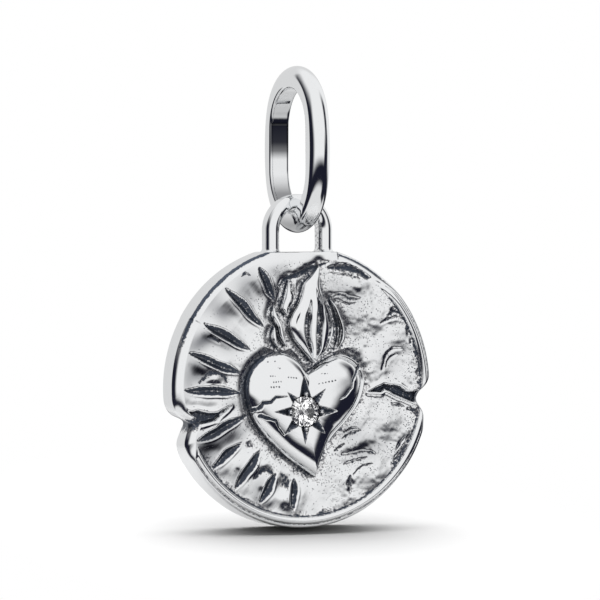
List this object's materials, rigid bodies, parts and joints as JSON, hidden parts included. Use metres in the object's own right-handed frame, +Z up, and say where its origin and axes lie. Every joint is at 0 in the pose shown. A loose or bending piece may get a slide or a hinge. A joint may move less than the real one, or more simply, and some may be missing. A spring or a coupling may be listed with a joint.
{
  "type": "heart medallion charm",
  "caption": "Round cast medallion with a flaming heart, star-set clear stone and carved rays, hanging by its loop from an oval bail that swings on a carrier.",
  "frame": {"origin": "inside top of the bail, where a carrier bears", "axes": "+Z up along the hanging charm, -Y out of the medallion's decorated face, +X to the right of someone who looks at that face"},
  "size_m": [0.0132, 0.0058, 0.0218],
  "materials": {
    "polished_silver": "mirror-polished silver with fine handling scratches",
    "oxidised_silver": "hammered silver, polished on its high spots and oxidised slate grey in its hollows",
    "clear_stone": "clear round brilliant"
  },
  "bodies": {
    "bail": {"bail": "polished_silver"},
    "medallion": {"medallion_disc": "oxidised_silver", "hanging_loop": "polished_silver", "heart": "polished_silver", "flame_core": "polished_silver", "flame_tongue_left_upper": "polished_silver", "flame_tongue_left_lower": "polished_silver", "flame_lick_left": "polished_silver", "flame_tongue_right": "polished_silver", "stone": "clear_stone", "setting_beads": "polished_silver"}
  },
  "joints": [
    {"name": "medallion_swing", "type": "hinge", "parent": "bail", "child": "medallion", "pos_m": [0, 0, -0.00391], "axis": [1, 0, 0], "range_deg": [-90, 90]}
  ]
}
